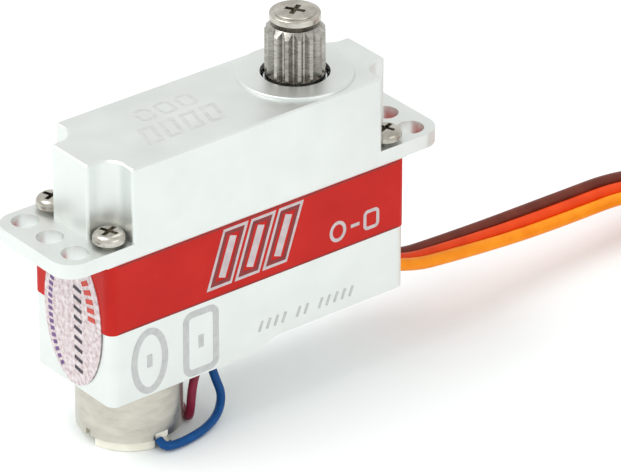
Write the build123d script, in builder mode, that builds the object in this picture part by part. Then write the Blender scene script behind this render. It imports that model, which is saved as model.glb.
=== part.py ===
from build123d import *
from math import cos, pi, radians, sin, tan
import os

# A thin wing servo, 8 mm wide, that stands on its motor. Millimetres.
# The origin is under the middle of the body, level with the motor's feet; +X points to the
# output shaft and the lead, +Z up along the output shaft, and -Y is the labelled face.

os.makedirs("parts", exist_ok=True)

# ---------------------------------------------------------------- driving dimensions

BODY_L = 23.5
BODY_W = 8.0
Z_BOTTOM = 4.6  # case bottom at the motor end
Z_STEP = 5.3  # case bottom at the lead end
CORNER_R = 0.6
Z_JOINT = 14.65  # joint between the two cases
Z_BAND = (9.75, 14.63)  # wrap-round band
BAND_T = 0.05
SEAL_T = 0.06
Z_SPLIT = 14.7  # underside of the lugs
LUG_T = 1.0
Z_LUG = Z_SPLIT + LUG_T
Z_TOP = 20.9
TOP_EDGE = 0.12
BOSS_R = 3.8
BOSS_H = 0.17
SHAFT_HOLE_R = 2.25
LUG_X = 15.0
LUG_HOLE_X = 13.3
LUG_HOLE_Y = 2.6
LUG_HOLE_R = 0.875
LUG_CORNER_R = 1.5

POCKET_X = 9.85  # corner pockets for the case screws
POCKET_Y = 1.85
POCKET_R = 1.2
POCKET_CUT = 6.0  # side of the square that cuts each pocket
POCKET_EDGE_R = 0.2
SCREW_X = 10.95
SCREW_Y = 2.95
SCREW_R = 0.45
SCREW_HEAD_R = 1.05
SCREW_HEAD_H = 0.62
SCREW_GAP = 0.28  # the heads stand a little above the lugs
SCREW_REACH = 6.0  # shank below the top of the lug
CASE_CROSS = (1.3, 0.3, 0.45)  # length, width and depth of the cross recess

MOTOR_X = -7.45
MOTOR_R = 3.44
MOTOR_BORE_R = 3.48
MOTOR_NOSE_R = 0.9
Z_CAN = (0.7, 13.2)

# gear train: teeth and module of each mesh, motor to output
MESHES = [(8, 24, 0.2), (8, 22, 0.2), (8, 24, 0.2), (8, 24, 0.25)]
CENTRES = [m * (a + b) / 2 for a, b, m in MESHES]
A_X = MOTOR_X + CENTRES[0]
B_X = A_X + CENTRES[1]
C_X = B_X + CENTRES[2]
OUT_X = C_X + CENTRES[3]
LAYERS = [(14.05, 14.8), (14.95, 15.75), (15.9, 16.8), (17.0, 18.4)]
PIN_R = 0.3
PIN_FIT = 0.03  # radial clearance of a gear on its pin
Z_PLATE = (13.2, 13.9)
Z_CEILING = 20.2

BEARING_UP = {"z": (18.7, 20.7), "bore": 1.5, "outer": 3.0, "ball": 0.4, "count": 9}
BEARING_LOW = {"z": (13.2, 14.4), "bore": 1.0, "outer": 2.0, "ball": 0.22, "count": 10}

SPLINE_TEETH = 15
SPLINE_R = 1.94
SPLINE_ROOT_R = 1.6
Z_SPLINE = (21.1, 24.5)
HORN_HOLE = (0.75, 4.0)  # radius and depth
HORN_THREAD = 3.6  # shank below the top of the spline
Z_SCREW_HEAD = 24.86
FLANGE = (1.65, 0.42)  # radius and thickness
DOME = (1.35, 0.1)
HORN_CROSS = (1.35, 0.34, 0.45)

WIRE_R = 0.3  # motor wires, and where they meet their terminals
WIRE_END_X = MOTOR_X + 0.35
WIRE_END_Y = 3.74
WIRE_Z = 0.31
WIRE_SLOT = (-1.95, -1.6)
WIRE_SLOT_SIZE = (2.3, 1.1)

Z_BAY = 5.8  # floor of the electronics bay
BAY_X = 3.4
BAY = (12.9, 6.4)
CORE_POCKET = (1.6, 3.4)  # where the lead's cores come in
LEAD_WIRE = 0.85
LEAD_TUBE_R = 0.8
LEAD_EXIT = (12.35, -0.8, 5.6)
LEAD_HOLE = (3.0, 0.9, 0.4)  # width, height and corner radius of the opening
LEAD_HOLE_Z = 5.8
GROMMET_X = 10.6
CORE_Z = 6.12

EPS = 0.02


# ---------------------------------------------------------------- helpers


def keep(builder, name):
    builder.part.label = name
    export_step(builder.part, f"parts/{name}.step")


def tooth_points(teeth, module, backlash, start):
    """Corners of a spur gear, each tooth drawn with six points; start turns the first tooth."""
    pitch_r = module * teeth / 2
    tip_r = pitch_r + 0.85 * module
    root_r = pitch_r - 1.15 * module
    half = pi / teeth / 2 - backlash / pitch_r / 2
    lean = module * 0.85 * tan(radians(20))
    tip_half = half - lean / tip_r - 0.04 * module / tip_r
    root_half = half + (0.02 if teeth < 12 else 0.35) * lean / root_r
    points = []
    for tooth in range(teeth):
        middle = start + 2 * pi * tooth / teeth
        for radius, side in (
            (root_r, -root_half),
            (pitch_r, -half),
            (tip_r, -tip_half),
            (tip_r, tip_half),
            (pitch_r, half),
            (root_r, root_half),
        ):
            points.append((radius * cos(middle + side), radius * sin(middle + side)))
    return points


def gear_sketch(x, teeth, module, z, start, backlash=0.06):
    with BuildSketch(Plane.XY.offset(z)) as sketch:
        with Locations((x, 0)):
            Polygon(*tooth_points(teeth, module, backlash, start), align=None)
    return sketch.sketch


def compound_gear(name, x, wheel, pinion, wheel_z, pinion_z, wheel_turn, pinion_turn):
    """A wheel with a smaller pinion above it, free on its pin."""
    teeth, module = wheel
    small_teeth, small_module = pinion
    with BuildPart() as gear:
        add(extrude(gear_sketch(x, teeth, module, wheel_z[0], wheel_turn), wheel_z[1] - wheel_z[0]))
        height = pinion_z[1] - wheel_z[1]
        add(extrude(gear_sketch(x, small_teeth, small_module, wheel_z[1], pinion_turn), height))
        with BuildSketch(Plane.XY.offset(wheel_z[0])):
            with Locations((x, 0)):
                Circle(PIN_R + PIN_FIT)
        extrude(amount=pinion_z[1] - wheel_z[0], mode=Mode.SUBTRACT)
    keep(gear, name)


def bearing(name, x, spec):
    """Deep-groove ball bearing: outer ring, inner ring and balls, as three nodes."""
    low, high = spec["z"]
    middle = (low + high) / 2
    pitch = (spec["bore"] + spec["outer"]) / 2
    ball = spec["ball"]
    groove = ball + EPS
    land = 0.55 * ball
    with BuildPart() as outer:
        with BuildSketch(Plane.XY.offset(low)):
            with Locations((x, 0)):
                Circle(spec["outer"])
                Circle(pitch + land, mode=Mode.SUBTRACT)
        extrude(amount=high - low)
        with BuildSketch(Plane.XZ):
            with Locations((x + pitch, middle)):
                Circle(groove)
        revolve(axis=Axis((x, 0, 0), (0, 0, 1)), mode=Mode.SUBTRACT)
    keep(outer, f"{name}_outer_ring")
    with BuildPart() as inner:
        with BuildSketch(Plane.XY.offset(low)):
            with Locations((x, 0)):
                Circle(pitch - land)
                Circle(spec["bore"], mode=Mode.SUBTRACT)
        extrude(amount=high - low)
        with BuildSketch(Plane.XZ):
            with Locations((x + pitch, middle)):
                Circle(groove)
        revolve(axis=Axis((x, 0, 0), (0, 0, 1)), mode=Mode.SUBTRACT)
    keep(inner, f"{name}_inner_ring")
    with BuildPart() as balls:
        with Locations((x, 0, middle)):
            with PolarLocations(pitch, spec["count"]):
                Sphere(ball)
    keep(balls, f"{name}_balls")


def arc_radii(route):
    """Largest fair radius at each corner of a route: 0.45 of the shorter run over tan of half the turn."""
    radii = []
    for before, here, after in zip(route, route[1:], route[2:]):
        run_in = Vector(*here) - Vector(*before)
        run_out = Vector(*after) - Vector(*here)
        turn = radians(run_in.get_angle(run_out))
        radii.append(0.45 * min(run_in.length, run_out.length) / tan(turn / 2))
    return radii


def tube(name, route, radius):
    """A round cord along straight runs joined by tangent arcs."""
    with BuildPart() as cord:
        with BuildLine() as path:
            FilletPolyline(*route, radius=arc_radii(route))
        with BuildSketch(Plane(origin=path.line @ 0, z_dir=path.line % 0)):
            Circle(radius)
        sweep()
    radii = [round(r, 1) for r in arc_radii(route)]
    share = cord.part.volume / (pi * radius**2 * path.wire().length)
    print(f"{name}: length {path.wire().length:.1f}, radii {radii}, volume share {share:.3f}")
    keep(cord, name)


# ---------------------------------------------------------------- cases


def lug_outline():
    """Plan of the two mounting lugs and the body between them."""
    RectangleRounded(2 * LUG_X, BODY_W, LUG_CORNER_R)


LUG_HOLES = [(s * LUG_HOLE_X, y) for s in (-1, 1) for y in (-LUG_HOLE_Y, 0, LUG_HOLE_Y)]
SCREW_PLACES = [(s * SCREW_X, t * SCREW_Y) for s in (-1, 1) for t in (-1, 1)]
PIN_PLACES = {"a": (A_X, LAYERS[1][1]), "b": (B_X, LAYERS[2][1]), "c": (C_X, LAYERS[3][1])}
FOOT_X = BODY_L / 2 + BAND_T + SEAL_T + 0.02
GEAR_SPACE = (18.4, 6.7)
Z_PIN_HOLE = 20.4
POST_R = 0.72
POST_GAP = 0.15
HOUSING_R = 3.35
INNER_R = 0.5  # corners of the recess, the plate and the pot
PLATE = (19.8, 6.7)  # gear plate, in a recess that is a little larger
RECESS = (19.9, 6.8)

with BuildPart() as top_case:
    with BuildSketch(Plane.XY.offset(Z_SPLIT)):
        lug_outline()
    extrude(amount=LUG_T)
    # the foot of the case stands just below the lugs, over the band and the seal
    with BuildSketch(Plane.XY.offset(Z_JOINT)):
        Rectangle(2 * FOOT_X, BODY_W)
    extrude(amount=Z_SPLIT - Z_JOINT)
    with BuildSketch(Plane.XY.offset(Z_LUG)) as upper_plan:
        Rectangle(BODY_L, BODY_W)
        for sx in (-1, 1):
            for sy in (-1, 1):
                with Locations((sx * (POCKET_X + POCKET_CUT / 2), sy * (POCKET_Y + POCKET_CUT / 2))):
                    RectangleRounded(POCKET_CUT, POCKET_CUT, POCKET_R, mode=Mode.SUBTRACT)
        ends = upper_plan.vertices().group_by(lambda v: abs(v.X))[-1]
        sides = upper_plan.vertices().group_by(lambda v: abs(v.Y))[-1]
        fillet(ends + sides, radius=POCKET_EDGE_R)
    extrude(amount=Z_TOP - Z_LUG)
    top_edges = top_case.faces().sort_by(Axis.Z)[-1].edges()
    chamfer(top_edges, length=TOP_EDGE)
    with BuildSketch(Plane.XY.offset(Z_TOP)):
        with Locations((OUT_X, 0)):
            Circle(BOSS_R)
    extrude(amount=BOSS_H)
    fillet(top_case.edges().filter_by(GeomType.CIRCLE).group_by(Axis.Z)[-1], radius=BOSS_H * 0.6)
    # gear space, open below
    with BuildSketch(Plane.XY.offset(Z_JOINT)):
        Rectangle(*GEAR_SPACE)
    extrude(amount=Z_CEILING - Z_JOINT, mode=Mode.SUBTRACT)
    # posts that carry the upper ends of the gear pins
    for place, gear_top in PIN_PLACES.values():
        with BuildSketch(Plane.XY.offset(gear_top + POST_GAP)):
            with Locations((place, 0)):
                Circle(POST_R)
        extrude(amount=Z_CEILING - gear_top - POST_GAP)
    # bearing housing round the output shaft
    with BuildSketch(Plane.XY.offset(BEARING_UP["z"][0])):
        with Locations((OUT_X, 0)):
            Circle(HOUSING_R)
    extrude(amount=Z_CEILING - BEARING_UP["z"][0])
    with BuildSketch(Plane.XY.offset(BEARING_UP["z"][0])):
        with Locations((OUT_X, 0)):
            Circle(BEARING_UP["outer"])
    extrude(amount=BEARING_UP["z"][1] - BEARING_UP["z"][0], mode=Mode.SUBTRACT)
    with BuildSketch(Plane.XY.offset(BEARING_UP["z"][0])):
        with Locations((OUT_X, 0)):
            Circle(SHAFT_HOLE_R)
    extrude(amount=Z_TOP + BOSS_H - BEARING_UP["z"][0], mode=Mode.SUBTRACT)
    for place, _ in PIN_PLACES.values():
        with BuildSketch(Plane.XY.offset(Z_SPLIT)):
            with Locations((place, 0)):
                Circle(PIN_R)
        extrude(amount=Z_PIN_HOLE - Z_SPLIT, mode=Mode.SUBTRACT)
    with BuildSketch(Plane.XY.offset(Z_JOINT)):
        with Locations(*LUG_HOLES):
            Circle(LUG_HOLE_R)
        with Locations(*SCREW_PLACES):
            Circle(SCREW_R)
    extrude(amount=Z_LUG - Z_JOINT, mode=Mode.SUBTRACT)
keep(top_case, "top_case")

# the bottom steps up towards the lead by a smooth ramp
RAMP_X = (-1.2, 1.8)
RAMP_RISE = Z_STEP - Z_BOTTOM

with BuildPart() as lower_case:
    with BuildSketch(Plane.XY.offset(Z_BOTTOM)):
        RectangleRounded(BODY_L, BODY_W, CORNER_R)
    extrude(amount=Z_JOINT - Z_BOTTOM)
    with BuildSketch(Plane.XZ.offset(-BODY_W)):
        with BuildLine():
            Spline(
                (RAMP_X[0], Z_BOTTOM),
                (RAMP_X[1], Z_STEP),
                tangents=((1, 0), (1, 0)),
            )
            Polyline((RAMP_X[1], Z_STEP), (20, Z_STEP), (20, 0), (RAMP_X[0], 0), (RAMP_X[0], Z_BOTTOM))
        make_face()
    extrude(amount=2 * BODY_W, mode=Mode.SUBTRACT)
    # motor bore through, electronics bay, recess for the gear plate
    with BuildSketch(Plane.XY.offset(Z_BOTTOM)):
        with Locations((MOTOR_X, 0)):
            Circle(MOTOR_BORE_R)
    extrude(amount=Z_JOINT - Z_BOTTOM, mode=Mode.SUBTRACT)
    with BuildSketch(Plane.XY.offset(Z_BAY)):
        with Locations((BAY_X, 0)):
            Rectangle(*BAY)
        with Locations((BAY_X + BAY[0] / 2 + CORE_POCKET[0] / 2 - 0.35, LEAD_EXIT[1])):
            Rectangle(*CORE_POCKET)
    extrude(amount=Z_JOINT - Z_BAY, mode=Mode.SUBTRACT)
    with BuildSketch(Plane.XY.offset(Z_PLATE[0])):
        RectangleRounded(*RECESS, INNER_R)
    extrude(amount=Z_JOINT - Z_PLATE[0], mode=Mode.SUBTRACT)
    # slot for the two motor wires, beside the motor
    with BuildSketch(Plane.XY.offset(Z_BOTTOM)):
        with Locations(WIRE_SLOT):
            SlotOverall(*WIRE_SLOT_SIZE)
    extrude(amount=Z_BAY - Z_BOTTOM, mode=Mode.SUBTRACT)
    # blind holes for the case screws
    with BuildSketch(Plane.XY.offset(Z_LUG - SCREW_REACH - 0.5)):
        with Locations(*SCREW_PLACES):
            Circle(SCREW_R)
    extrude(amount=SCREW_REACH, mode=Mode.SUBTRACT)
    # lead opening in the end wall
    with BuildSketch(Plane.YZ.offset(GROMMET_X - 0.1)):
        with Locations((LEAD_EXIT[1], LEAD_HOLE_Z)):
            RectangleRounded(*LEAD_HOLE)
    extrude(amount=2, mode=Mode.SUBTRACT)
keep(lower_case, "lower_case")

with BuildPart() as gear_plate:
    with BuildSketch(Plane.XY.offset(Z_PLATE[0])):
        RectangleRounded(*PLATE, INNER_R)
    extrude(amount=Z_PLATE[1] - Z_PLATE[0])
    with BuildSketch(Plane.XY.offset(Z_PLATE[0])):
        with Locations((OUT_X, 0)):
            Circle(BEARING_LOW["outer"] + 0.5)
    extrude(amount=BEARING_LOW["z"][1] - Z_PLATE[0])
    with BuildSketch(Plane.XY.offset(Z_PLATE[0])):
        with Locations((OUT_X, 0)):
            Circle(BEARING_LOW["outer"])
        with Locations((MOTOR_X, 0)):
            Circle(MOTOR_NOSE_R)
        with Locations(*[(place, 0) for place, _ in PIN_PLACES.values()]):
            Circle(PIN_R)
    extrude(amount=2, mode=Mode.SUBTRACT)
keep(gear_plate, "gear_plate")

# the band is one thin printed wrap, closed round the lower case
with BuildPart() as wrap_label:
    with BuildSketch(Plane.XY.offset(Z_BAND[0])):
        RectangleRounded(BODY_L + 2 * BAND_T, BODY_W + 2 * BAND_T, CORNER_R + BAND_T)
        RectangleRounded(BODY_L, BODY_W, CORNER_R, mode=Mode.SUBTRACT)
    extrude(amount=Z_BAND[1] - Z_BAND[0])
keep(wrap_label, "wrap_label")

with BuildPart() as oval_seal:
    with BuildSketch(Plane.YZ.offset(-BODY_L / 2 - BAND_T)):
        with Locations((-0.2, 9.72)):
            Ellipse(2.95, 4.9)
    extrude(amount=-SEAL_T)
keep(oval_seal, "oval_seal")

# ---------------------------------------------------------------- screws

Z_PAN = Z_LUG + SCREW_GAP
with BuildPart() as case_screws:
    with BuildSketch(Plane.XY.offset(Z_PAN)):
        with Locations(*SCREW_PLACES):
            Circle(SCREW_HEAD_R)
    extrude(amount=SCREW_HEAD_H)
    rims = case_screws.edges().filter_by(GeomType.CIRCLE).group_by(Axis.Z)[-1]
    fillet(rims, radius=SCREW_HEAD_H * 0.7)
    with BuildSketch(Plane.XY.offset(Z_PAN + SCREW_HEAD_H)):
        for place in SCREW_PLACES:
            with Locations(Location(place, 20)):
                Rectangle(*CASE_CROSS[:2])
                Rectangle(*CASE_CROSS[1::-1])
    extrude(amount=-CASE_CROSS[2], mode=Mode.SUBTRACT)
    with BuildSketch(Plane.XY.offset(Z_LUG - SCREW_REACH)):
        with Locations(*SCREW_PLACES):
            Circle(SCREW_R)
    extrude(amount=SCREW_REACH + SCREW_GAP)
keep(case_screws, "case_screws")

# ---------------------------------------------------------------- output

with BuildPart() as output_shaft:
    stack = [
        (0.75, 10.4, 12.9),  # drive end in the wiper
        (BEARING_LOW["bore"], 12.9, 14.4),
        (1.1, 14.4, 17.0),
        (1.35, 17.0, 18.4),
        (BEARING_UP["bore"], 18.4, 20.75),
        (SPLINE_R, 20.75, Z_SPLINE[0]),
    ]
    for radius, low, high in stack:
        with BuildSketch(Plane.XY.offset(low)):
            with Locations((OUT_X, 0)):
                Circle(radius)
        extrude(amount=high - low)
    with BuildSketch(Plane.XY.offset(Z_SPLINE[0])):
        spline_points = []
        for tooth in range(SPLINE_TEETH):
            middle = 2 * pi * tooth / SPLINE_TEETH
            for radius, side in (
                (SPLINE_ROOT_R, -0.42),
                (SPLINE_R, -0.14),
                (SPLINE_R, 0.14),
                (SPLINE_ROOT_R, 0.42),
            ):
                angle = middle + side * 2 * pi / SPLINE_TEETH
                spline_points.append((radius * cos(angle), radius * sin(angle)))
        with Locations((OUT_X, 0)):
            Polygon(*spline_points, align=None)
    extrude(amount=Z_SPLINE[1] - Z_SPLINE[0])
    # lead-in chamfer at the top of the teeth
    with BuildSketch(Plane.XZ):
        with BuildLine():
            Polyline(
                (OUT_X + SPLINE_R + 0.1, Z_SPLINE[1] - 0.55),
                (OUT_X + SPLINE_R + 0.1, Z_SPLINE[1] + 0.1),
                (OUT_X + SPLINE_ROOT_R - 0.1, Z_SPLINE[1] + 0.1),
                close=True,
            )
        make_face()
    revolve(axis=Axis((OUT_X, 0, 0), (0, 0, 1)), mode=Mode.SUBTRACT)
    # hole for the horn screw
    with BuildSketch(Plane.XY.offset(Z_SPLINE[1] - HORN_HOLE[1])):
        with Locations((OUT_X, 0)):
            Circle(HORN_HOLE[0])
    extrude(amount=HORN_HOLE[1], mode=Mode.SUBTRACT)
keep(output_shaft, "output_shaft")

with BuildPart() as output_gear:
    low, high = LAYERS[3]
    turn = pi  # a tooth points at the pinion
    add(extrude(gear_sketch(OUT_X, MESHES[3][1], MESHES[3][2], low, turn), high - low))
    with BuildSketch(Plane.XY.offset(low)):
        with Locations((OUT_X, 0)):
            Circle(1.35)
    extrude(amount=high - low, mode=Mode.SUBTRACT)
keep(output_gear, "output_gear")

with BuildPart() as horn_screw:
    with BuildSketch(Plane.XY.offset(Z_SPLINE[1] - HORN_THREAD)):
        with Locations((OUT_X, 0)):
            Circle(HORN_HOLE[0])
    extrude(amount=Z_SCREW_HEAD - Z_SPLINE[1] + HORN_THREAD)
    with BuildSketch(Plane.XY.offset(Z_SCREW_HEAD)):
        with Locations((OUT_X, 0)):
            Circle(FLANGE[0])
    extrude(amount=FLANGE[1])
    fillet(horn_screw.edges().filter_by(GeomType.CIRCLE).group_by(Axis.Z)[-1], radius=FLANGE[1] / 3)
    with BuildSketch(Plane.XY.offset(Z_SCREW_HEAD + FLANGE[1])):
        with Locations((OUT_X, 0)):
            Circle(DOME[0])
    extrude(amount=DOME[1])
    fillet(horn_screw.edges().filter_by(GeomType.CIRCLE).group_by(Axis.Z)[-1], radius=DOME[1] * 0.8)
    with BuildSketch(Plane.XY.offset(Z_SCREW_HEAD + FLANGE[1] + DOME[1])):
        with Locations(Location((OUT_X, 0), 30)):
            Rectangle(*HORN_CROSS[:2])
            Rectangle(*HORN_CROSS[1::-1])
    extrude(amount=-HORN_CROSS[2], mode=Mode.SUBTRACT)
keep(horn_screw, "horn_screw")

bearing("upper_bearing", OUT_X, BEARING_UP)
bearing("lower_bearing", OUT_X, BEARING_LOW)

# ---------------------------------------------------------------- gear train

# A wheel has a tooth pointing at the pinion that drives it, and that pinion has a gap there.
half_gap = [pi / a for a, b, m in MESHES]
compound_gear("gear_a", A_X, MESHES[0][1:], (8, 0.2), LAYERS[0], LAYERS[1], pi, half_gap[1])
compound_gear("gear_b", B_X, MESHES[1][1:], (8, 0.2), LAYERS[1], LAYERS[2], pi, half_gap[2])
compound_gear("gear_c", C_X, MESHES[2][1:], (8, 0.25), LAYERS[2], LAYERS[3], pi, half_gap[3])

for pin_name, (place, _) in PIN_PLACES.items():
    with BuildPart() as gear_pin:
        with BuildSketch(Plane.XY.offset(Z_PLATE[0])):
            with Locations((place, 0)):
                Circle(PIN_R)
        extrude(amount=Z_PIN_HOLE - 0.05 - Z_PLATE[0])
    keep(gear_pin, f"pin_{pin_name}")

# ---------------------------------------------------------------- coreless motor

CAN_T = 0.3
CAN_TOP_T = 0.5
NOTCH = (1.0, 1.0, 0.45)
with BuildPart() as motor_can:
    with BuildSketch(Plane.XY.offset(Z_CAN[0])):
        with Locations((MOTOR_X, 0)):
            Circle(MOTOR_R)
    extrude(amount=Z_CAN[1] - Z_CAN[0])
    with BuildSketch(Plane.XY.offset(Z_CAN[0])):
        with Locations((MOTOR_X, 0)):
            Circle(MOTOR_R - CAN_T)
    extrude(amount=Z_CAN[1] - Z_CAN[0] - CAN_TOP_T, mode=Mode.SUBTRACT)
    with BuildSketch(Plane.XY.offset(Z_CAN[1] - CAN_TOP_T)):
        with Locations((MOTOR_X, 0)):
            Circle(MOTOR_NOSE_R)
    extrude(amount=CAN_TOP_T, mode=Mode.SUBTRACT)
    # notches in the rim: two that key the end cap, and one at the end face
    with BuildSketch(Plane.XY.offset(Z_CAN[0])):
        with Locations((MOTOR_X, MOTOR_R), (MOTOR_X, -MOTOR_R)):
            Rectangle(*NOTCH[:2])
        with Locations((MOTOR_X - MOTOR_R, -0.25)):
            Rectangle(0.8, 0.4)
    extrude(amount=NOTCH[2], mode=Mode.SUBTRACT)
keep(motor_can, "motor_can")

# bush that holds the magnet and lets the motor shaft turn inside it
SHAFT_R = 0.4
MAGNET_R = 1.9
Z_MAGNET = (4.2, 12.7)
with BuildPart() as motor_magnet:
    with BuildSketch(Plane.XY.offset(Z_MAGNET[0])):
        with Locations((MOTOR_X, 0)):
            Circle(MAGNET_R)
            Circle(SHAFT_R + 0.15, mode=Mode.SUBTRACT)
    extrude(amount=Z_MAGNET[1] - Z_MAGNET[0])
    with BuildSketch(Plane.XY.offset(Z_MAGNET[1])):
        with Locations((MOTOR_X, 0)):
            Circle(MOTOR_NOSE_R)
            Circle(SHAFT_R + 0.05, mode=Mode.SUBTRACT)
    extrude(amount=Z_PLATE[1] - Z_MAGNET[1])
keep(motor_magnet, "motor_magnet")

CAP_T = 1.3
FOOT_R = 3.3
FEET = (-133, 47)  # middle of each foot, in degrees round the motor
FOOT_SPAN = 70
with BuildPart() as motor_end_cap:
    with BuildSketch(Plane.XY.offset(Z_CAN[0])):
        with Locations((MOTOR_X, 0)):
            Circle(MOTOR_R - CAN_T)
            with Locations((0, MOTOR_R - CAN_T), (0, -MOTOR_R + CAN_T)):
                Rectangle(NOTCH[0] - 2 * EPS, 0.5)
    extrude(amount=NOTCH[2] - EPS)
    with BuildSketch(Plane.XY.offset(Z_CAN[0])):
        with Locations((MOTOR_X, 0)):
            Circle(MOTOR_R - CAN_T)
    extrude(amount=CAP_T)
    # two curved feet that the motor stands on
    for middle in FEET:
        with BuildSketch(Plane.XY):
            with Locations((MOTOR_X, 0)):
                Circle(FOOT_R)
                Circle(1.3, mode=Mode.SUBTRACT)
            with BuildLine():
                corners = [(MOTOR_X, 0)]
                for step in (-0.5, 0, 0.5):
                    angle = radians(middle + step * FOOT_SPAN)
                    corners.append((MOTOR_X + 6 * cos(angle), 6 * sin(angle)))
                Polyline(*corners, close=True)
            make_face(mode=Mode.INTERSECT)
        extrude(amount=Z_CAN[0])
    fillet(motor_end_cap.faces().sort_by(Axis.Z)[:2].edges(), radius=0.12)
    with BuildSketch(Plane.XY.offset(1.2)):
        with Locations((MOTOR_X, 0)):
            Circle(SHAFT_R + 0.05)
    extrude(amount=1.0, mode=Mode.SUBTRACT)
keep(motor_end_cap, "motor_end_cap")

with BuildPart() as motor_terminals:
    with BuildSketch(Plane.XY.offset(WIRE_Z - 0.16)):
        for side in (-1, 1):
            with Locations((WIRE_END_X - 0.3, side * (WIRE_END_Y - 0.45))):
                Rectangle(0.6, 1.3)
    extrude(amount=Z_CAN[0] - WIRE_Z + 0.16)
keep(motor_terminals, "motor_terminals")

# the rotor: a thin self-supporting coil on a hub, open towards the mounting face
CUP = {"outer": 2.7, "inner": 2.25, "z": (2.6, 12.3), "floor": 0.8}
HUB = {"r": 1.0, "z": 2.1}
Z_SHAFT = (1.3, 15.0)
with BuildPart() as rotor_cup:
    with BuildSketch(Plane.XY.offset(CUP["z"][0])):
        with Locations((MOTOR_X, 0)):
            Circle(CUP["outer"])
            Circle(CUP["inner"], mode=Mode.SUBTRACT)
    extrude(amount=CUP["z"][1] - CUP["z"][0])
    with BuildSketch(Plane.XY.offset(CUP["z"][0])):
        with Locations((MOTOR_X, 0)):
            Circle(CUP["outer"])
            Circle(SHAFT_R, mode=Mode.SUBTRACT)
    extrude(amount=CUP["floor"])
    with BuildSketch(Plane.XY.offset(HUB["z"])):
        with Locations((MOTOR_X, 0)):
            Circle(HUB["r"])
            Circle(SHAFT_R, mode=Mode.SUBTRACT)
    extrude(amount=CUP["z"][0] - HUB["z"])
keep(rotor_cup, "rotor_cup")

with BuildPart() as motor_shaft:
    with BuildSketch(Plane.XY.offset(Z_SHAFT[0])):
        with Locations((MOTOR_X, 0)):
            Circle(SHAFT_R)
    extrude(amount=Z_SHAFT[1] - Z_SHAFT[0])
keep(motor_shaft, "motor_shaft")

Z_PINION = (14.0, 14.95)
with BuildPart() as motor_pinion:
    pinion_face = gear_sketch(MOTOR_X, MESHES[0][0], MESHES[0][2], Z_PINION[0], half_gap[0])
    add(extrude(pinion_face, Z_PINION[1] - Z_PINION[0]))
    with BuildSketch(Plane.XY.offset(Z_PINION[0])):
        with Locations((MOTOR_X, 0)):
            Circle(SHAFT_R)
    extrude(amount=Z_PINION[1] - Z_PINION[0], mode=Mode.SUBTRACT)
keep(motor_pinion, "motor_pinion")

# ---------------------------------------------------------------- position sensor and board

POT_Z = (10.0, 12.7)
POT_SIDE = 6.2
POT_FLOOR = 0.4
POT_BORE_R = 1.4  # lets the shaft through
POT_RING_R = 2.7  # the wiper's chamber
POT_ROOM_H = 1.9
with BuildPart() as pot_body:
    with BuildSketch(Plane.XY.offset(POT_Z[0])):
        with Locations((OUT_X, 0)):
            RectangleRounded(POT_SIDE, POT_SIDE, INNER_R)
    extrude(amount=POT_Z[1] - POT_Z[0])
    with BuildSketch(Plane.XY.offset(POT_Z[0] + POT_FLOOR)):
        with Locations((OUT_X, 0)):
            Circle(POT_RING_R)
    extrude(amount=POT_ROOM_H, mode=Mode.SUBTRACT)
    with BuildSketch(Plane.XY.offset(POT_Z[0] + POT_FLOOR)):
        with Locations((OUT_X, 0)):
            Circle(POT_BORE_R)
    extrude(amount=POT_Z[1] - POT_Z[0], mode=Mode.SUBTRACT)
keep(pot_body, "pot_body")

WIPER_R = 1.2
WIPER_Z = (10.6, 11.3, 12.4)  # foot, top of the arm, top of the collar
WIPER_BORE_R = 0.75
with BuildPart() as pot_wiper:
    with BuildSketch(Plane.XY.offset(WIPER_Z[0])):
        with Locations((OUT_X, 0)):
            Circle(WIPER_R)
            with Locations((1.7, 0)):
                Rectangle(1.5, 0.8)
            Circle(WIPER_BORE_R, mode=Mode.SUBTRACT)
    extrude(amount=WIPER_Z[1] - WIPER_Z[0])
    with BuildSketch(Plane.XY.offset(WIPER_Z[1])):
        with Locations((OUT_X, 0)):
            Circle(WIPER_R)
            Circle(WIPER_BORE_R, mode=Mode.SUBTRACT)
    extrude(amount=WIPER_Z[2] - WIPER_Z[1])
keep(pot_wiper, "pot_wiper")

BOARD_Z = (8.2, 8.8)
BOARD = (12.6, 6.1)
with BuildPart() as control_board:
    with BuildSketch(Plane.XY.offset(BOARD_Z[0])):
        with Locations((BAY_X, 0)):
            RectangleRounded(*BOARD, 0.3)
    extrude(amount=BOARD_Z[1] - BOARD_Z[0])
keep(control_board, "control_board")

with BuildPart() as board_chips:
    for chip_x, chip_y, wide, deep, tall in (
        (0.2, 0.5, 3.0, 3.0, 0.7),
        (4.4, 0.4, 3.6, 3.2, 0.8),
        (7.6, 1.4, 1.2, 0.7, 0.5),
        (7.6, -1.0, 1.2, 0.7, 0.5),
    ):
        with BuildSketch(Plane.XY.offset(BOARD_Z[1])):
            with Locations((chip_x, chip_y)):
                Rectangle(wide, deep)
        extrude(amount=tall)
keep(board_chips, "board_chips")

# pot legs soldered to the board
with BuildPart() as pot_legs:
    with BuildSketch(Plane.XY.offset(BOARD_Z[1])):
        with Locations(*[(OUT_X + 2.6, side * 2.2) for side in (-1, 0, 1)]):
            Rectangle(0.3, 0.3)
    extrude(amount=POT_Z[0] - BOARD_Z[1])
keep(pot_legs, "pot_legs")

# ---------------------------------------------------------------- motor wires

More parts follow.
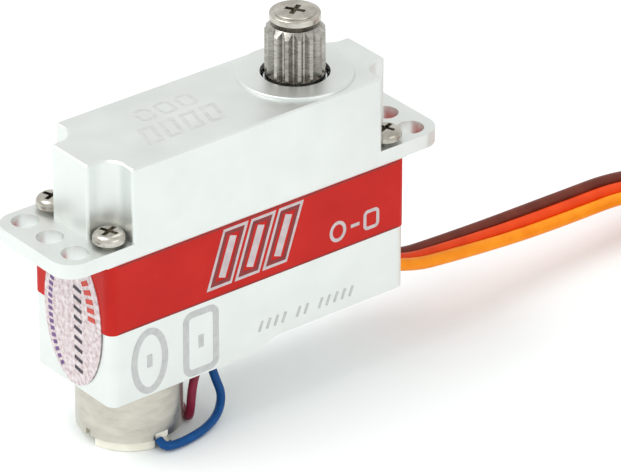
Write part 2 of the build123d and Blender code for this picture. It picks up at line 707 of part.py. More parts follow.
tube(
    "motor_wire_blue",
    [
        (-1.35, WIRE_SLOT[1], BOARD_Z[0]),
        (-1.35, WIRE_SLOT[1], 4.4),
        (-1.65, -1.65, 3.0),
        (-1.45, -2.0, 1.6),
        (-2.3, -2.75, 0.55),
        (-3.9, -3.5, WIRE_Z),
        (-5.5, -WIRE_END_Y, WIRE_Z),
        (WIRE_END_X, -WIRE_END_Y, WIRE_Z),
    ],
    WIRE_R,
)
tube(
    "motor_wire_red",
    [
        (-2.55, WIRE_SLOT[1], BOARD_Z[0]),
        (-2.55, WIRE_SLOT[1], 4.4),
        (-3.55, -1.9, 3.2),
        (-3.8, -1.9, 1.3),
        (-3.4, -0.7, WIRE_Z),
        (-3.35, 0.9, WIRE_Z),
        (-3.9, 2.6, WIRE_Z),
        (-5.4, WIRE_END_Y, WIRE_Z),
        (WIRE_END_X, WIRE_END_Y, WIRE_Z),
    ],
    WIRE_R,
)

# ---------------------------------------------------------------- lead

# Flat three-wire lead. It leaves low in the end wall, comes down to the floor, turns on
# edge and is put away as a small ring with its plug lying on top.
with BuildPart() as lead_grommet:
    with BuildSketch(Plane.YZ.offset(GROMMET_X)):
        with Locations((LEAD_EXIT[1], LEAD_HOLE_Z)):
            RectangleRounded(*LEAD_HOLE)
    extrude(amount=BODY_L / 2 - GROMMET_X)
    with BuildSketch(Plane.YZ.offset(BODY_L / 2)):
        with Locations((LEAD_EXIT[1], LEAD_HOLE_Z)):
            RectangleRounded(*LEAD_HOLE)
    extrude(amount=LEAD_EXIT[0] - BODY_L / 2, taper=8)
keep(lead_grommet, "lead_grommet")

with BuildPart() as lead_cores:
    for row in (-1, 0, 1):
        core_y = LEAD_EXIT[1] + row * LEAD_WIRE
        with BuildLine() as core_path:
            FilletPolyline(
                (GROMMET_X, core_y, CORE_Z),
                (9.3, core_y, CORE_Z),
                (9.3, core_y, BOARD_Z[0]),
                radius=0.6,
            )
        with BuildSketch(Plane(origin=core_path.line @ 0, z_dir=core_path.line % 0)):
            Circle(0.3)
        sweep()
keep(lead_cores, "lead_cores")

RING_X = 44.0
RING_Y = -13.6
RING_R = (11.6, 14.2)
RING_Z = (0.12, 2.76)
STUB_X = 42.0
LEAD_ROUTE = [
    LEAD_EXIT,
    (14.3, -0.8, 4.74),
    (17.8, -0.7, 4.38),
    (23.1, -0.5, 3.92),
    (28.6, -0.25, 3.62),
    (34.0, 0.0, 3.4),
    (39.2, 0.1, 1.9),
    (STUB_X, -0.05, 1.45),
]
tube("lead", LEAD_ROUTE, LEAD_TUBE_R)

PLUG = (14.0, 7.6, 2.6)
PLUG_Y = -24.6
PLUG_END_X = RING_X + PLUG[0] / 2

with BuildPart() as lead_coil:
    with BuildSketch(Plane.XY.offset(RING_Z[0])):
        with Locations((RING_X, RING_Y)):
            Circle(RING_R[1])
        with Locations(((STUB_X + RING_X) / 2, RING_Y + RING_R[1] - 1.0)):
            Rectangle(RING_X - STUB_X, 2.0)
        with Locations((RING_X, RING_Y)):
            Circle(RING_R[0], mode=Mode.SUBTRACT)
    extrude(amount=RING_Z[1] - RING_Z[0])
    # the last stretch climbs onto the ring and meets the plug
    with BuildSketch(Plane.XY.offset(RING_Z[1])):
        with Locations((RING_X, RING_Y)):
            Circle(RING_R[1])
            Circle(RING_R[0], mode=Mode.SUBTRACT)
        with Locations((PLUG_END_X - 20, RING_Y)):
            Rectangle(40, 40, mode=Mode.SUBTRACT)
        with Locations((RING_X, RING_Y + 25)):
            Rectangle(60, 40, mode=Mode.SUBTRACT)
    extrude(amount=PLUG[2])
keep(lead_coil, "lead_coil")

SLOT_PITCH = 2.54
with BuildPart() as plug_housing:
    with BuildSketch(Plane.XY.offset(RING_Z[1])):
        with Locations((RING_X, PLUG_Y)):
            RectangleRounded(PLUG[0], PLUG[1], 0.3)
    extrude(amount=PLUG[2])
    with BuildSketch(Plane.YZ.offset(PLUG_END_X - PLUG[0])):
        with Locations((PLUG_Y, RING_Z[1] + PLUG[2] / 2)):
            with GridLocations(SLOT_PITCH, 1, 3, 1):
                Rectangle(1.1, 1.1)
    extrude(amount=9.5, mode=Mode.SUBTRACT)
    # windows over the contact latches
    with BuildSketch(Plane.XY.offset(RING_Z[1] + PLUG[2])):
        with Locations((RING_X + 1.5, PLUG_Y)):
            with GridLocations(1, SLOT_PITCH, 1, 3):
                Rectangle(2.2, 1.1)
    extrude(amount=-0.75, mode=Mode.SUBTRACT)
    # polarity key along one side
    with BuildSketch(Plane.XY.offset(RING_Z[1] + 0.9)):
        with Locations((RING_X - PLUG[0] / 2 + 3.5, PLUG_Y - PLUG[1] / 2)):
            Rectangle(7.0, 0.4)
    extrude(amount=0.8)
keep(plug_housing, "plug_housing")

with BuildPart() as plug_contacts:
    for row in (-1, 0, 1):
        with BuildSketch(Plane.YZ.offset(PLUG_END_X - PLUG[0] + 0.4)):
            with Locations((PLUG_Y + row * SLOT_PITCH, RING_Z[1] + PLUG[2] / 2)):
                Rectangle(1.0, 1.0)
                Rectangle(0.66, 0.66, mode=Mode.SUBTRACT)
        extrude(amount=8.8)
keep(plug_contacts, "plug_contacts")

TIE_ANGLE = 45  # clockwise from +Y
TIE_HALF = 9
with BuildPart() as lead_tie:
    with BuildSketch(Plane.XY):
        with Locations((RING_X, RING_Y)):
            Circle(RING_R[1] + 0.14)
            Circle(RING_R[0] - 0.14, mode=Mode.SUBTRACT)
        with BuildLine(mode=Mode.PRIVATE) as wedge:
            Polyline(
                (RING_X, RING_Y),
                (
                    RING_X + 30 * sin(radians(TIE_ANGLE - TIE_HALF)),
                    RING_Y + 30 * cos(radians(TIE_ANGLE - TIE_HALF)),
                ),
                (
                    RING_X + 30 * sin(radians(TIE_ANGLE + TIE_HALF)),
                    RING_Y + 30 * cos(radians(TIE_ANGLE + TIE_HALF)),
                ),
                close=True,
            )
        make_face(wedge.line.edges(), mode=Mode.INTERSECT)
    extrude(amount=RING_Z[1] + 0.12)
    with BuildSketch(Plane.XY.offset(RING_Z[0] - EPS)):
        with Locations((RING_X, RING_Y)):
            Circle(RING_R[1] + EPS)
            Circle(RING_R[0] - EPS, mode=Mode.SUBTRACT)
    extrude(amount=RING_Z[1] - RING_Z[0] + 2 * EPS, mode=Mode.SUBTRACT)
keep(lead_tie, "lead_tie")
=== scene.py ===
from math import cos, pi, radians, sin

import bmesh
import bpy
from mathutils import Matrix, Vector


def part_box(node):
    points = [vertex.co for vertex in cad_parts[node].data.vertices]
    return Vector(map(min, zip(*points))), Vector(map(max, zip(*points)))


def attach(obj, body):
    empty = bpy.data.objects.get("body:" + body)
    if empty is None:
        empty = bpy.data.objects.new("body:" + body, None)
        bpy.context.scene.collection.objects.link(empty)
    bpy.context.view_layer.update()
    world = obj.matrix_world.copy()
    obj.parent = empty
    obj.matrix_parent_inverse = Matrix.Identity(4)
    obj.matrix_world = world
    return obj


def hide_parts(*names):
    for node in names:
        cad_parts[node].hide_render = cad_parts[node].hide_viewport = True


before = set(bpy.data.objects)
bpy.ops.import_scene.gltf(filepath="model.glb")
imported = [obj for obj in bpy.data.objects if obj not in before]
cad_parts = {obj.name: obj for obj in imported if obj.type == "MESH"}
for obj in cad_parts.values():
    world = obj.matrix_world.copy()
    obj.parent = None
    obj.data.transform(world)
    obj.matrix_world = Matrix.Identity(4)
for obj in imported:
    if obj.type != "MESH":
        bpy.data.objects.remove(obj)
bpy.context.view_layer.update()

MM = 0.001
scene = bpy.context.scene


def mm(x, y, z):
    return Vector((x * MM, y * MM, z * MM))


def node_box(name):
    """A node's lowest and highest corners, in millimetres."""
    low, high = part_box(name)
    return Vector(low) / MM, Vector(high) / MM


# ------------------------------------------------------------------ camera, floor, light

CAMERA_AZIMUTH = -38.5
CAMERA_ELEVATION = 28.99
CAMERA_DISTANCE = 350.0
CAMERA_TARGET = (4.734, -3.111, 10.915)
CAMERA_ROLL = 0.07
CAMERA_LENS = 320.1
SENSOR_WIDTH = 36

FLOOR_REACH = 1.6  # metres
FLOOR_COLOUR = (0.925, 0.955, 0.96, 1)
SKY_COLOUR = (0.99, 1.0, 0.985, 1)
SKY_STRENGTH = 0.90
# each light's name, place, target and size in millimetres, and power in watts
LIGHTS = (
    ("key", (-150, 60, 260), (0, 0, 12), (190, 190), 0.44),
    ("fill", (60, -300, 130), (0, 0, 10), (260, 160), 0.14),
)


def add_camera():
    azimuth, elevation = radians(CAMERA_AZIMUTH), radians(CAMERA_ELEVATION)
    back = Vector((sin(azimuth) * cos(elevation), -cos(azimuth) * cos(elevation), sin(elevation)))
    data = bpy.data.cameras.new("camera")
    data.lens = CAMERA_LENS
    data.sensor_width = SENSOR_WIDTH
    data.clip_end = 5
    camera = bpy.data.objects.new("camera", data)
    scene.collection.objects.link(camera)
    camera.location = mm(*CAMERA_TARGET) + back * CAMERA_DISTANCE * MM
    turn = back.to_track_quat("Z", "Y") @ Matrix.Rotation(radians(CAMERA_ROLL), 4, "Z").to_quaternion()
    camera.rotation_mode = "QUATERNION"
    camera.rotation_quaternion = turn
    scene.camera = camera


def add_area(name, place, target, size, power):
    data = bpy.data.lights.new(name, "AREA")
    data.shape = "RECTANGLE"
    data.size, data.size_y = size[0] * MM, size[1] * MM
    data.energy = power
    light = bpy.data.objects.new(name, data)
    scene.collection.objects.link(light)
    light.location = mm(*place)
    light.rotation_mode = "QUATERNION"
    light.rotation_quaternion = (mm(*place) - mm(*target)).to_track_quat("Z", "Y")


def add_studio():
    floor = bpy.data.meshes.new("floor")
    corners = [(x * FLOOR_REACH, y * FLOOR_REACH, 0) for x, y in ((-1, -1), (1, -1), (1, 1), (-1, 1))]
    floor.from_pydata(corners, [], [(0, 1, 2, 3)])
    stage = bpy.data.objects.new("floor", floor)
    scene.collection.objects.link(stage)
    material, shader, _ = new_material("pale floor")
    shader.inputs["Base Color"].default_value = FLOOR_COLOUR
    shader.inputs["Roughness"].default_value = 0.7
    floor.materials.append(material)
    world = bpy.data.worlds.new("studio")
    world.use_nodes = True
    sky = world.node_tree.nodes["Background"]
    sky.inputs["Color"].default_value = SKY_COLOUR
    sky.inputs["Strength"].default_value = SKY_STRENGTH
    scene.world = world
    for light in LIGHTS:
        add_area(*light)
    scene.view_settings.view_transform = "Standard"


# ------------------------------------------------------------------ materials


def new_material(name):
    material = bpy.data.materials.new(name)
    material.use_nodes = True
    shader = material.node_tree.nodes["Principled BSDF"]
    return material, shader, material.node_tree


def noise(tree, scale, detail=4, stretch=(1, 1, 1)):
    """Noise in the object's own space, in millimetres; stretch under 1 draws it out along that axis."""
    place = tree.nodes.new("ShaderNodeTexCoord")
    mapping = tree.nodes.new("ShaderNodeMapping")
    mapping.inputs["Scale"].default_value = [s / MM for s in stretch]
    tree.links.new(place.outputs["Object"], mapping.inputs["Vector"])
    texture = tree.nodes.new("ShaderNodeTexNoise")
    texture.inputs["Scale"].default_value = scale
    texture.inputs["Detail"].default_value = detail
    tree.links.new(mapping.outputs["Vector"], texture.inputs["Vector"])
    return texture.outputs["Fac"]


def ramp(tree, source, stops):
    node = tree.nodes.new("ShaderNodeValToRGB")
    elements = node.color_ramp.elements
    while len(elements) < len(stops):
        elements.new(0.5)
    for element, (place, colour) in zip(elements, stops):
        element.position = place
        element.color = (*colour, 1)
    tree.links.new(source, node.inputs["Fac"])
    return node.outputs["Color"]


def grey(value):
    return (value, value, value)


def bump(tree, shader, source, strength, distance):
    node = tree.nodes.new("ShaderNodeBump")
    node.inputs["Strength"].default_value = strength
    node.inputs["Distance"].default_value = distance * MM
    tree.links.new(source, node.inputs["Height"])
    tree.links.new(node.outputs["Normal"], shader.inputs["Normal"])


def finish(
    name,
    colours,
    roughness,
    metallic=0.0,
    scale=1.5,
    detail=4,
    stretch=(1, 1, 1),
    grain=None,
    coat=0.0,
    specular=0.3,
):
    """A finish whose colour and roughness vary softly, with an optional fine grain (scale, depth)."""
    material, shader, tree = new_material(name)
    patches = noise(tree, scale, detail, stretch)
    tree.links.new(ramp(tree, patches, [(0.32, colours[0]), (0.68, colours[1])]), shader.inputs["Base Color"])
    gloss = ramp(tree, patches, [(0.3, grey(roughness[0])), (0.7, grey(roughness[1]))])
    tree.links.new(gloss, shader.inputs["Roughness"])
    shader.inputs["Metallic"].default_value = metallic
    shader.inputs["Specular IOR Level"].default_value = specular
    if coat:
        shader.inputs["Coat Weight"].default_value = coat
        shader.inputs["Coat Roughness"].default_value = 0.12
    if grain:
        grain_scale, depth = grain
        bump(tree, shader, noise(tree, grain_scale, 2, stretch), 0.5, depth)
    return material


def insulation(name, dark, light, specular):
    return finish(name, [dark, light], (0.38, 0.5), 0.0, 0.8, grain=(5, 0.01), specular=specular)


add_camera()

MATERIALS = {
    "case": finish(
        "satin aluminium",
        [(0.74, 0.765, 0.745), (0.79, 0.815, 0.795)],
        (0.36, 0.46), 0.9, 0.35, 5, grain=(14, 0.006),
    ),
    "plate": finish("milled aluminium", [(0.62, 0.63, 0.65), (0.72, 0.73, 0.74)], (0.3, 0.42), 1.0, 0.6),
    "band": finish(
        "red film",
        [(0.48, 0.014, 0.010), (0.54, 0.019, 0.014)],
        (0.36, 0.44), 0.0, 0.3, grain=(9, 0.002), specular=0.12,
    ),
    "print": finish("silver print", [(0.50, 0.43, 0.44), (0.60, 0.53, 0.54)], (0.4, 0.5), 0.2, 2.0),
    "print_dark": finish("maroon print", [(0.20, 0.02, 0.02), (0.26, 0.03, 0.03)], (0.4, 0.5), 0.0, 2.0),
    "print_grey": finish("grey print", [(0.46, 0.47, 0.47), (0.54, 0.55, 0.55)], (0.45, 0.55), 0.0, 2.0),
    "print_faint": finish("etched mark", [(0.60, 0.615, 0.60), (0.68, 0.69, 0.68)], (0.55, 0.65), 0.7, 2.0),
    "print_red": finish("red ink", [(0.55, 0.05, 0.03), (0.66, 0.07, 0.05)], (0.4, 0.5), 0.0, 2.0),
    "print_violet": finish("violet ink", [(0.13, 0.06, 0.20), (0.19, 0.10, 0.28)], (0.4, 0.5), 0.0, 2.0),
    "print_black": finish("black ink", [(0.030, 0.025, 0.035), (0.055, 0.045, 0.06)], (0.4, 0.5), 0.0, 2.0),
    "seal": finish(
        "foil seal",
        [(0.50, 0.38, 0.39), (0.78, 0.71, 0.72)],
        (0.24, 0.36), 0.35, 3.2, 4, grain=(8, 0.004),
    ),
    "screw": finish(
        "nickel steel",
        [(0.40, 0.37, 0.32), (0.62, 0.59, 0.54)],
        (0.20, 0.32), 1.0, 1.2, grain=(12, 0.004),
    ),
    "shaft": finish(
        "ground steel",
        [(0.30, 0.285, 0.26), (0.48, 0.46, 0.43)],
        (0.22, 0.34), 1.0, 1.0, 4, (1, 1, 6), (10, 0.004),
    ),
    "gear": finish("cut steel", [(0.42, 0.42, 0.43), (0.55, 0.55, 0.56)], (0.3, 0.4), 1.0, 1.5),
    "brass": finish("cut brass", [(0.66, 0.47, 0.20), (0.76, 0.58, 0.28)], (0.25, 0.38), 1.0, 1.5),
    "bearing": finish("bearing steel", [(0.60, 0.61, 0.63), (0.68, 0.69, 0.70)], (0.08, 0.16), 1.0, 1.2),
    "can": finish(
        "nickel can",
        [(0.52, 0.49, 0.43), (0.64, 0.61, 0.54)],
        (0.26, 0.36), 1.0, 0.7, 4, (1, 1, 3), (12, 0.002),
    ),
    "ivory": finish(
        "ivory plastic",
        [(0.80, 0.77, 0.66), (0.88, 0.86, 0.76)],
        (0.45, 0.55), 0.0, 1.0, grain=(12, 0.01),
    ),
    "tin": finish(
        "tinned copper",
        [(0.60, 0.59, 0.57), (0.72, 0.71, 0.69)],
        (0.22, 0.35), 1.0, 2.5, grain=(5, 0.02),
    ),
    "magnet": finish("sintered magnet", [(0.12, 0.12, 0.13), (0.20, 0.20, 0.21)], (0.4, 0.55), 0.8, 3.0),
    "copper": finish(
        "enamelled coil",
        [(0.52, 0.22, 0.09), (0.66, 0.32, 0.15)],
        (0.3, 0.42), 0.7, 1.2, 2, (1, 1, 8), (6, 0.02),
    ),
    "blue": finish(
        "blue insulation",
        [(0.001, 0.055, 0.20), (0.003, 0.075, 0.27)],
        (0.32, 0.45),
        grain=(6, 0.01),
        specular=0.2,
    ),
    "crimson": finish(
        "crimson insulation",
        [(0.16, 0.005, 0.024), (0.23, 0.010, 0.038)],
        (0.35, 0.48), 0.0, 1.5,
    ),
    "black": finish(
        "black plastic",
        [(0.020, 0.020, 0.022), (0.035, 0.035, 0.037)],
        (0.42, 0.56), 0.0, 1.2, grain=(10, 0.01),
    ),
    "board": finish(
        "solder mask",
        [(0.012, 0.10, 0.040), (0.024, 0.15, 0.06)],
        (0.25, 0.35), 0.0, 1.0, coat=0.4,
    ),
    "rubber": finish(
        "black rubber",
        [(0.020, 0.020, 0.021), (0.032, 0.032, 0.034)],
        (0.55, 0.7), 0.0, 2.0, grain=(8, 0.02),
    ),
    "wire_brown": insulation("brown insulation", (0.12, 0.022, 0.012), (0.17, 0.034, 0.020), 0.2),
    "wire_red": insulation("red insulation", (0.70, 0.050, 0.006), (0.80, 0.068, 0.008), 0.15),
    "wire_orange": insulation("orange insulation", (0.88, 0.24, 0.006), (0.95, 0.32, 0.012), 0.15),
    "contact": finish("plated contact", [(0.70, 0.55, 0.30), (0.80, 0.66, 0.40)], (0.2, 0.3), 1.0, 2.0),
    "tie": finish(
        "white film",
        [(0.78, 0.78, 0.76), (0.86, 0.86, 0.84)],
        (0.35, 0.5), 0.0, 1.5, grain=(4, 0.01),
    ),
}

NODE_FINISH = {
    "case": ["top_case", "lower_case"],
    "plate": ["gear_plate"],
    "band": ["wrap_label"],
    "seal": ["oval_seal"],
    "screw": ["case_screws", "horn_screw"],
    "shaft": ["output_shaft", "pin_a", "pin_b", "pin_c", "motor_shaft"],
    "gear": ["output_gear", "gear_c"],
    "brass": ["gear_a", "gear_b", "motor_pinion"],
    "bearing": [
        f"{end}_bearing_{part}"
        for end in ("upper", "lower")
        for part in ("outer_ring", "inner_ring", "balls")
    ],
    "can": ["motor_can"],
    "ivory": ["motor_end_cap", "pot_wiper"],
    "tin": ["motor_terminals", "pot_legs"],
    "magnet": ["motor_magnet"],
    "copper": ["rotor_cup"],
    "black": ["pot_body", "board_chips", "plug_housing"],
    "board": ["control_board"],
    "rubber": ["lead_grommet"],
    "wire_orange": ["lead_cores"],
    "contact": ["plug_contacts"],
    "tie": ["lead_tie"],
}

for key, nodes in NODE_FINISH.items():
    for node in nodes:
        for material_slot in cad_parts[node].material_slots:
            material_slot.material = MATERIALS[key]

add_studio()

# ------------------------------------------------------------------ mesh helpers


def new_piece(name, mesh, body, slot_name, *materials):
    """Link a mesh as a piece that rides on a body."""
    piece = bpy.data.objects.new(name, mesh)
    scene.collection.objects.link(piece)
    for key in materials:
        mesh.materials.append(MATERIALS[key])
    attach(piece, body)
    return piece


def spline_points(name, route):
    """A NURBS line through the frame with the route's points as its control points, and where it runs."""
    curve = bpy.data.curves.new(name, "CURVE")
    curve.dimensions = "3D"
    curve.resolution_u = 12
    line = curve.splines.new("NURBS")
    line.points.add(len(route) - 1)
    for point, place in zip(line.points, route):
        point.co = (*(mm(*place)), 1)
    line.order_u = 3
    line.use_endpoint_u = True
    holder = bpy.data.objects.new(name, curve)
    mesh = bpy.data.meshes.new_from_object(holder)
    points = [v.co.copy() for v in mesh.vertices]
    bpy.data.meshes.remove(mesh)
    bpy.data.objects.remove(holder)
    bpy.data.curves.remove(curve)
    return points


def along(points):
    """Distance run at each point."""
    runs = [0.0]
    for a, b in zip(points, points[1:]):
        runs.append(runs[-1] + (b - a).length)
    return runs


def tangents(points):
    out = []
    for i in range(len(points)):
        before, after = points[max(i - 1, 0)], points[min(i + 1, len(points) - 1)]
        out.append((after - before).normalized())
    return out


def add_tube(bm, centres, frames, radius, sides, material_index):
    """A closed round tube through centres, each with its own pair of cross directions."""
    rings = []
    for centre, (across, over) in zip(centres, frames):
        ring = []
        for side in range(sides):
            angle = 2 * pi * side / sides
            ring.append(bm.verts.new(centre + (across * cos(angle) + over * sin(angle)) * radius))
        rings.append(ring)
    for low, high in zip(rings, rings[1:]):
        for side in range(sides):
            after = (side + 1) % sides
            face = bm.faces.new((low[side], low[after], high[after], high[side]))
            face.material_index = material_index
            face.smooth = True
    for ring, flip in ((rings[0], True), (rings[-1], False)):
        face = bm.faces.new(list(reversed(ring)) if flip else ring)
        face.material_index = material_index


def smooth_step(x):
    x = min(max(x, 0.0), 1.0)
    return x * x * (3 - 2 * x)


# ------------------------------------------------------------------ printed marks

INK = 0.015  # thickness
TOP_INK_SHARE = 0.4  # the worn mark on top is thinner
NUDGE = 1e-6  # carries a dash past its own end


def circle(centre, radii, count=40, turn=(0, 360)):
    """Points round an ellipse, its angles in degrees from the first axis."""
    first, last = radians(turn[0]), radians(turn[1])
    return [
        (
            centre[0] + radii[0] * cos(first + (last - first) * i / count),
            centre[1] + radii[1] * sin(first + (last - first) * i / count),
        )
        for i in range(count if turn == (0, 360) else count + 1)
    ]


def rounded_box(low, high, radius, count=6):
    """Points round a box with rounded corners."""
    points = []
    for corner, start in (((1, 1), 0), ((0, 1), 90), ((0, 0), 180), ((1, 0), 270)):
        centre = [(high[i] - radius) if corner[i] else (low[i] + radius) for i in (0, 1)]
        points += circle(centre, (radius, radius), count, (start, start + 90))
    return points


def dashes(points, width, dash, gap):
    """Short strokes laid end to end along a line of points."""
    marks = []
    run = 0.0
    line = [Vector(p) for p in points]
    for a, b in zip(line, line[1:]):
        step = (b - a).length
        place = 0.0
        while place < step:
            phase = (run + place) % (dash + gap)
            if phase < dash:
                reach = min(dash - phase, step - place)
                ends = [tuple(a.lerp(b, share / step)) for share in (place, place + reach)]
                marks.append((ends, width, False))
                place += reach + NUDGE
            else:
                place += dash + gap - phase + NUDGE
        run += step
    return marks


def stroke_edges(points, width, closed):
    """Left and right edge of a stroke, mitred at its corners."""
    line = [Vector(p) for p in points]
    left, right = [], []
    for i, here in enumerate(line):
        before = line[i - 1] if closed or i else None
        after = line[(i + 1) % len(line)] if closed or i < len(line) - 1 else None
        sides = ((before, here), (here, after))
        ways = [(b - a).normalized() for a, b in sides if a is not None and b is not None]
        way = sum(ways, Vector((0, 0))).normalized()
        across = Vector((-way.y, way.x))
        reach = width / 2 / max(across.dot(Vector((-ways[0].y, ways[0].x))), 0.4)
        left.append(here + across * reach)
        right.append(here - across * reach)
    return left, right


def print_marks(name, slot_name, place, groups):
    """Ink as thin raised strokes; place(u, v, height) gives the spot on the surface, in millimetres."""
    bm = bmesh.new()
    keys = list(groups)
    for material_index, key in enumerate(keys):
        for points, width, closed in groups[key]:
            left, right = stroke_edges(points, width, closed)
            rows = [
                [bm.verts.new(mm(*place(p.x, p.y, height))) for p in edge]
                for edge, height in ((left, 0), (right, 0), (right, INK), (left, INK))
            ]
            count = len(points)
            faces = []
            for i in range(count if closed else count - 1):
                j = (i + 1) % count
                for a, b in zip(rows, rows[1:] + rows[:1]):
                    faces.append(bm.faces.new((a[i], a[j], b[j], b[i])))
            if not closed:
                faces.append(bm.faces.new([row[0] for row in rows]))
                faces.append(bm.faces.new([row[-1] for row in reversed(rows)]))
            for face in faces:
                face.material_index = material_index
    bmesh.ops.recalc_face_normals(bm, faces=bm.faces)
    mesh = bpy.data.meshes.new(name)
    bm.to_mesh(mesh)
    bm.free()
    return new_piece(name, mesh, "case", slot_name, *keys)


def slanted(x, low, high, wide, lean, inset=0.0):
    """Corners of a slanted bar, its foot starting at x."""
    rise = high - low
    return [
        (x + inset * 1.1 + lean * inset / rise, low + inset),
        (x + wide - inset * 0.9 + lean * inset / rise, low + inset),
        (x + wide - inset * 1.1 + lean * (rise - inset) / rise, high - inset),
        (x + inset * 0.9 + lean * (rise - inset) / rise, high - inset),
    ]


BAND_FACE = node_box("wrap_label")[0].y
CASE_FACE = node_box("lower_case")[0].y
SEAL_FACE = node_box("oval_seal")[0].x
BOSS_HEIGHT = 0.17
TOP_FACE = node_box("top_case")[1].z - BOSS_HEIGHT


def print_band():
    """Three outlined slanted bars, a ring, a bar and a square, between two thin lines."""
    low, high, wide, lean = 10.5, 14.3, 1.75, 1.3
    feet = (-4.15, -1.95, 0.25)
    line_reach = 11.1
    dark = [(slanted(x, low, high, wide, lean, 0.24), 0.26, True) for x in feet]
    dark += [([(-line_reach, z), (line_reach, z)], 0.09, False) for z in (9.82, 14.56)]
    silver = [(slanted(x, low, high, wide, lean), 0.2, True) for x in feet]
    silver += [([(x + 1.06, low + 0.55), (x + 1.99, high - 0.55)], 0.55, False) for x in feet]
    silver.append((circle((6.2, 11.15), (0.55, 0.62)), 0.24, True))
    silver.append(([(7.25, 11.15), (7.95, 11.15)], 0.24, False))
    silver.append((rounded_box((8.4, 10.55), (9.45, 11.75), 0.25), 0.24, True))
    groups = {"print_dark": dark, "print": silver}
    print_marks("band_print", "band", lambda u, v, h: (u, BAND_FACE - h, v), groups)


def print_side():
    """A large ring and a large rounded box with a tick in each, and a row of small ticks."""
    ring_x, box_left, box_right = -8.75, -5.9, -3.55
    marks = [
        (circle((ring_x, 7.05), (1.2, 2.1)), 0.46, True),
        (rounded_box((box_left, 4.95), (box_right, 9.15), 0.5), 0.46, True),
    ]
    for x in (ring_x, (box_left + box_right) / 2):
        marks.append(([(x, 6.6), (x, 7.5)], 0.40, False))
    foot = -0.1
    for count in (4, 2, 5):
        for _ in range(count):
            marks.append(([(foot, 6.05), (foot + 0.28, 6.75)], 0.2, False))
            foot += 0.62
        foot += 0.55
    print_marks("side_print", "lower_case", lambda u, v, h: (u, CASE_FACE - h, v), {"print_grey": marks})


def print_seal():
    """A column of black ticks between a red and a violet dashed arc."""
    centre = (-0.2, 9.55)
    pitch = 0.72
    ticks = [([(-1.15, 6.0 + pitch * i), (-0.35, 6.15 + pitch * i)], 0.26, False) for i in range(9)]
    groups = {
        "print_black": ticks,
        "print_red": dashes(circle(centre, (2.05, 4.0), 30, (115, 172)), 0.75, 0.34, 0.26),
        "print_violet": dashes(circle(centre, (2.35, 4.35), 60, (-62, 52)), 0.40, 0.26, 0.2),
    }
    print_marks("seal_print", "seal", lambda u, v, h: (SEAL_FACE - h, u, v), groups)


def print_top():
    """A faint row of slanted outlines and a row of rounded boxes."""
    marks = [(slanted(x, -1.9, -0.1, 0.9, 0.5), 0.3, True) for x in (-6.9, -5.3, -3.7, -2.1)]
    marks += [(rounded_box((x, 0.7), (x + 1.0, 2.0), 0.3, 3), 0.26, True) for x in (-5.4, -3.8, -2.2)]
    print_marks(
        "top_print", "top_case", lambda u, v, h: (u, v, TOP_FACE + h * TOP_INK_SHARE), {"print_faint": marks}
    )


print_band()
print_side()
print_seal()
print_top()

# ------------------------------------------------------------------ motor wires

MOTOR_WIRE_R = 0.29
MOTOR_WIRE_SIDES = 16
BLUE_ROUTE = [
    (-1.35, -1.6, 8.2),
    (-1.35, -1.6, 5.6),
    (-1.45, -1.6, 4.4),
    (-2.1, -1.5, 3.3),
    (-1.95, -1.8, 2.3),
    (-1.8, -2.3, 1.3),
    (-2.7, -3.05, 0.5),
    (-4.3, -3.75, 0.31),
    (-6.0, -4.1, 0.31),
    (-7.2, -4.1, 0.33),
    (-7.78, -3.95, 0.48),
    (-7.75, -3.5, 0.72),
]
RED_ROUTE = [
    (-2.55, -1.6, 8.2),
    (-2.55, -1.6, 5.4),
    (-2.75, -1.65, 4.4),
    (-3.9, -2.2, 3.4),
    (-4.3, -2.4, 2.4),
    (-4.35, -2.35, 1.3),
    (-4.35, -2.1, 0.33),
    (-3.7, -0.7, 0.31),
    (-3.6, 0.9, 0.31),
    (-4.1, 2.5, 0.31),
    (-5.4, 3.74, 0.31),
    (-7.1, 3.74, 0.31),
]


def build_wire(name, replaced, slot_name, material, route):
    """A smooth round wire along a route, in place of the plain one from CAD."""
    points = spline_points(name, route)
    side = Vector((0, 1, 0))
    frames = []
    for direction in tangents(points):
        side = (side - direction * side.dot(direction)).normalized()
        frames.append((side, direction.cross(side)))
    bm = bmesh.new()
    add_tube(bm, points, frames, MOTOR_WIRE_R * MM, MOTOR_WIRE_SIDES, 0)
    mesh = bpy.data.meshes.new(name)
    bm.to_mesh(mesh)
    bm.free()
    piece = new_piece(name, mesh, "case", slot_name, material)
    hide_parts(replaced)


build_wire("blue_wire", "motor_wire_blue", "blue_wire", "blue", BLUE_ROUTE)
build_wire("crimson_wire", "motor_wire_red", "crimson_wire", "crimson", RED_ROUTE)

# ------------------------------------------------------------------ lead

WIRE = 0.85
WIRE_SIDES = 14
WIRE_SPREAD = 0.97  # wires of the flat part, in wire diameters
END_SPREAD = 1.6  # and how much further apart they end, in the plug
SPREAD_RUN = 4.0
LEAD_LEAN = 0.30  # share of a quarter turn that the flat lead leans towards the labelled face
LEAN_RUN = 16.0
TWIST = (23.0, 40.0)  # where it turns on edge, from the case
TWIST_BACK = (17.0, 5.0)  # where it turns flat again, from the plug
LEAD_ROUTE = [
    (12.35, -0.8, 5.6),
    (14.3, -0.8, 4.74),
    (17.8, -0.7, 4.38),
    (23.1, -0.5, 3.92),
    (28.6, -0.25, 3.62),
    (34.0, 0.0, 3.4),
    (39.2, 0.1, 1.9),
    (42.0, -0.05, 1.45),
]
RING = (44.0, -13.6)
RING_START = 13.55
RING_PITCH = 1.0
RING_FIRST = 8  # degrees
RING_LAST = 360 + 140
FLAT_TURNS = 1.19
STEP = 24  # degrees between the ring's points
RING_Z = 1.42
CLIMB_RADII = (12.4, 13.15)
CLIMB_STEPS = 5
PLUG_Y = -24.6
PLUG_LOW, PLUG_HIGH = node_box("plug_housing")


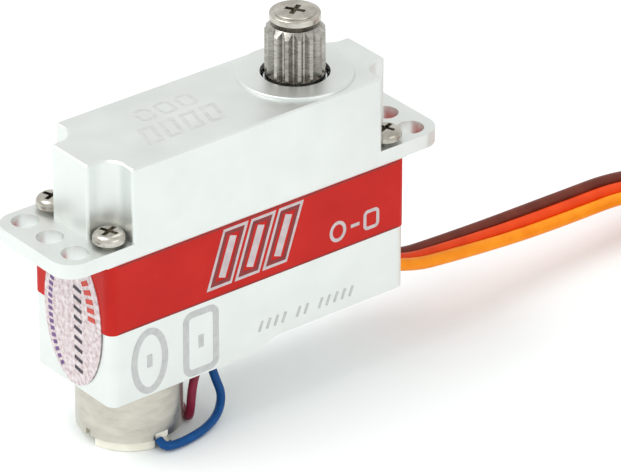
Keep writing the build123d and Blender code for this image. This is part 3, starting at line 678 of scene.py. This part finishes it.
def ring_point(angle, radius, z):
    """A point of the ring, its angle in degrees clockwise from +Y."""
    return (RING[0] + radius * sin(radians(angle)), RING[1] + radius * cos(radians(angle)), z)


def lead_route():
    """The free stretch, the flat turns of the ring, and the climb to the plug that lies on it."""
    route = list(LEAD_ROUTE)
    turn_end = 360 * FLAT_TURNS
    count = int(turn_end / STEP)
    for i in range(count + 1):
        angle = RING_FIRST + i * (turn_end - RING_FIRST) / count
        route.append(ring_point(angle, RING_START - RING_PITCH * angle / 360, RING_Z))
    plug_z = (PLUG_LOW.z + PLUG_HIGH.z) / 2
    for i in range(CLIMB_STEPS):
        share = (i + 1) / CLIMB_STEPS
        angle = turn_end + share * (RING_LAST - turn_end)
        radius = CLIMB_RADII[0] + (CLIMB_RADII[1] - CLIMB_RADII[0]) * share
        route.append(ring_point(angle, radius, RING_Z + (plug_z - RING_Z) * smooth_step(share)))
    route.append((PLUG_HIGH.x, PLUG_Y, plug_z))
    return route


def lead_frames(runs, heading):
    """The flat lead's cross directions: it leans, turns on edge for the ring, and ends flat."""
    twist_from, twist_to = (run * MM for run in TWIST)
    back_from, back_to = (runs[-1] - run * MM for run in TWIST_BACK)
    frames = []
    for run, direction in zip(runs, heading):
        level = Vector((0, 0, 1)).cross(direction).normalized()
        upright = direction.cross(level).normalized()
        lean = LEAD_LEAN * smooth_step(run / (LEAN_RUN * MM))
        turned = smooth_step((run - twist_from) / (twist_to - twist_from))
        on_edge = turned + lean * (1 - turned)
        on_edge -= smooth_step((run - back_from) / (back_to - back_from))
        angle = on_edge * pi / 2
        across = level * cos(angle) + upright * sin(angle)
        frames.append((across, direction.cross(across).normalized()))
    return frames


def build_lead():
    """Three separate wires side by side, one piece with the plug and the tie on it."""
    points = spline_points("lead_line", lead_route())
    runs = along(points)
    length = runs[-1]
    frames = lead_frames(runs, tangents(points))
    spread_from = length - SPREAD_RUN * MM
    bm = bmesh.new()
    for row, material_index in ((1, 0), (0, 1), (-1, 2)):
        centres = []
        for point, run, (across, _) in zip(points, runs, frames):
            spread = WIRE_SPREAD + END_SPREAD * smooth_step((run - spread_from) / (SPREAD_RUN * MM))
            centres.append(point + across * row * WIRE * spread * MM)
        add_tube(bm, centres, frames, WIRE * MM / 2, WIRE_SIDES, material_index)
    mesh = bpy.data.meshes.new("three_wire_lead")
    bm.to_mesh(mesh)
    bm.free()
    piece = new_piece("three_wire_lead", mesh, "case", "lead_orange", "wire_brown", "wire_red", "wire_orange")
    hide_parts("lead", "lead_coil")
    print(f"lead length {length / MM:.1f} mm")


build_lead()
